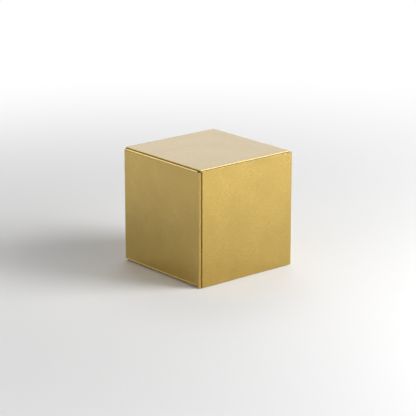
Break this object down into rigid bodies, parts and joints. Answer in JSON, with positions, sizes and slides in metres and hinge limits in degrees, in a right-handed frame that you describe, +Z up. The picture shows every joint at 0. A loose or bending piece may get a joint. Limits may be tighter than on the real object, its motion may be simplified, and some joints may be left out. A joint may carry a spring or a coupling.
{
  "type": "favor box",
  "caption": "Cube-shaped folding carton for party favors in satin gold board, with a glued corner seam, a hinged tuck-in lid and base, and dust flaps under both.",
  "frame": {"origin": "middle of the footprint, on the surface that the box stands on", "axes": "+Z up through the lid, -Y towards the front wall that the lid tucks behind, +X to the right seen from the front"},
  "size_m": [0.0508, 0.0508, 0.0508],
  "materials": {
    "gold_board": "satin",
    "gold_crease": "satin",
    "glue": "matte"
  },
  "bodies": {
    "carton": {"front_wall": "gold_board", "back_wall": "gold_board", "left_wall": "gold_board", "right_wall": "gold_board", "front_right_fold": "gold_crease", "back_right_fold": "gold_crease", "back_left_fold": "gold_crease", "seam_fold": "gold_crease", "glue_flap": "gold_board", "seam_glue": "glue", "lid_hinge_crease": "gold_crease", "base_hinge_crease": "gold_crease", "top_left_dust_crease": "gold_crease", "top_right_dust_crease": "gold_crease", "bottom_left_dust_crease": "gold_crease", "bottom_right_dust_crease": "gold_crease"},
    "lid": {"lid_panel": "gold_board", "lid_tuck_crease": "gold_crease"},
    "lid_tuck": {"lid_tuck_flap": "gold_board"},
    "top_left_dust": {"top_left_dust_flap": "gold_board"},
    "top_right_dust": {"top_right_dust_flap": "gold_board"},
    "base": {"base_panel": "gold_board", "base_tuck_crease": "gold_crease"},
    "base_tuck": {"base_tuck_flap": "gold_board"},
    "bottom_left_dust": {"bottom_left_dust_flap": "gold_board"},
    "bottom_right_dust": {"bottom_right_dust_flap": "gold_board"}
  },
  "joints": [
    {"name": "lid_hinge", "type": "hinge", "parent": "carton", "child": "lid", "pos_m": [0, 0.02517, 0.05058], "axis": [-1, 0, 0], "range_deg": [0, 200]},
    {"name": "lid_tuck_fold", "type": "hinge", "parent": "lid", "child": "lid_tuck", "pos_m": [0, -0.02442, 0.05058], "axis": [1, 0, 0], "range_deg": [-5, 20]},
    {"name": "top_left_dust_fold", "type": "hinge", "parent": "carton", "child": "top_left_dust", "pos_m": [-0.02517, 0, 0.04997], "axis": [0, -1, 0], "range_deg": [0, 100]},
    {"name": "top_right_dust_fold", "type": "hinge", "parent": "carton", "child": "top_right_dust", "pos_m": [0.02517, 0, 0.04997], "axis": [0, 1, 0], "range_deg": [0, 100]},
    {"name": "base_hinge", "type": "hinge", "parent": "carton", "child": "base", "pos_m": [0, 0.02517, 0.00022], "axis": [1, 0, 0], "range_deg": [0, 200]},
    {"name": "base_tuck_fold", "type": "hinge", "parent": "base", "child": "base_tuck", "pos_m": [0, -0.02442, 0.00022], "axis": [-1, 0, 0], "range_deg": [-5, 20]},
    {"name": "bottom_left_dust_fold", "type": "hinge", "parent": "carton", "child": "bottom_left_dust", "pos_m": [-0.02517, 0, 0.00082], "axis": [0, 1, 0], "range_deg": [0, 100]},
    {"name": "bottom_right_dust_fold", "type": "hinge", "parent": "carton", "child": "bottom_right_dust", "pos_m": [0.02517, 0, 0.00082], "axis": [0, -1, 0], "range_deg": [0, 100]}
  ],
  "couplings": [
    {"joint": "top_left_dust_fold", "follows": "lid_hinge", "ratio": 0.5},
    {"joint": "top_right_dust_fold", "follows": "lid_hinge", "ratio": 0.5},
    {"joint": "bottom_left_dust_fold", "follows": "base_hinge", "ratio": 0.5},
    {"joint": "bottom_right_dust_fold", "follows": "base_hinge", "ratio": 0.5}
  ]
}
